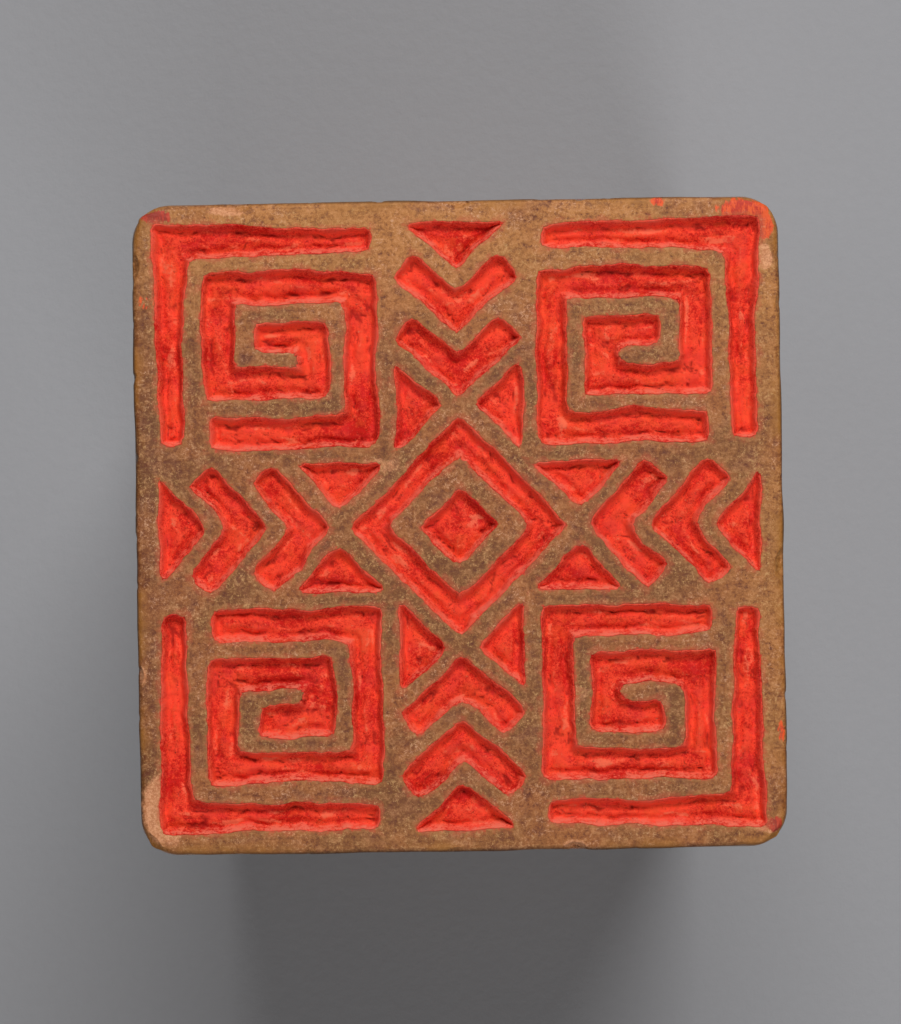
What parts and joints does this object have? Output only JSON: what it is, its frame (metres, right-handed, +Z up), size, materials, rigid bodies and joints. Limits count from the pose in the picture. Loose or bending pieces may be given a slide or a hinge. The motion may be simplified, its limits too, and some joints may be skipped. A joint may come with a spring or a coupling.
{
  "type": "seal stamp",
  "caption": "Square stone seal stamp: an upright block with a printing face cut in intaglio spirals, chevrons and a lozenge, each cut lined with dried red paste.",
  "frame": {"origin": "centre of the plain end that the seal stands on", "axes": "+Z up through the block to the carved printing face, +Y to the top of that face as it is read, +X to its right"},
  "size_m": [0.036, 0.0362, 0.072],
  "materials": {
    "stone": "smooth brown soapstone, mottled, with fine pale and dark grains",
    "paste": "dull, crumbly dried vermilion seal paste"
  },
  "bodies": {
    "root": {"paste_centre_dot": "paste", "paste_centre_lozenge": "paste", "paste_corner_hook_bottom_left": "paste", "paste_corner_hook_bottom_right": "paste", "paste_corner_hook_top_left": "paste", "paste_corner_hook_top_right": "paste", "paste_corner_spiral_bottom_left": "paste", "paste_corner_spiral_bottom_right": "paste", "paste_corner_spiral_top_left": "paste", "paste_corner_spiral_top_right": "paste", "paste_dart_1": "paste", "paste_dart_2": "paste", "paste_dart_3": "paste", "paste_dart_4": "paste", "paste_dart_5": "paste", "paste_dart_6": "paste", "paste_dart_7": "paste", "paste_dart_8": "paste", "paste_edge_triangle_bottom": "paste", "paste_edge_triangle_left": "paste", "paste_edge_triangle_right": "paste", "paste_edge_triangle_top": "paste", "paste_inner_chevron_bottom": "paste", "paste_inner_chevron_left": "paste", "paste_inner_chevron_right": "paste", "paste_inner_chevron_top": "paste", "paste_outer_chevron_bottom": "paste", "paste_outer_chevron_left": "paste", "paste_outer_chevron_right": "paste", "paste_outer_chevron_top": "paste", "stone_body": "stone"}
  },
  "joints": []
}
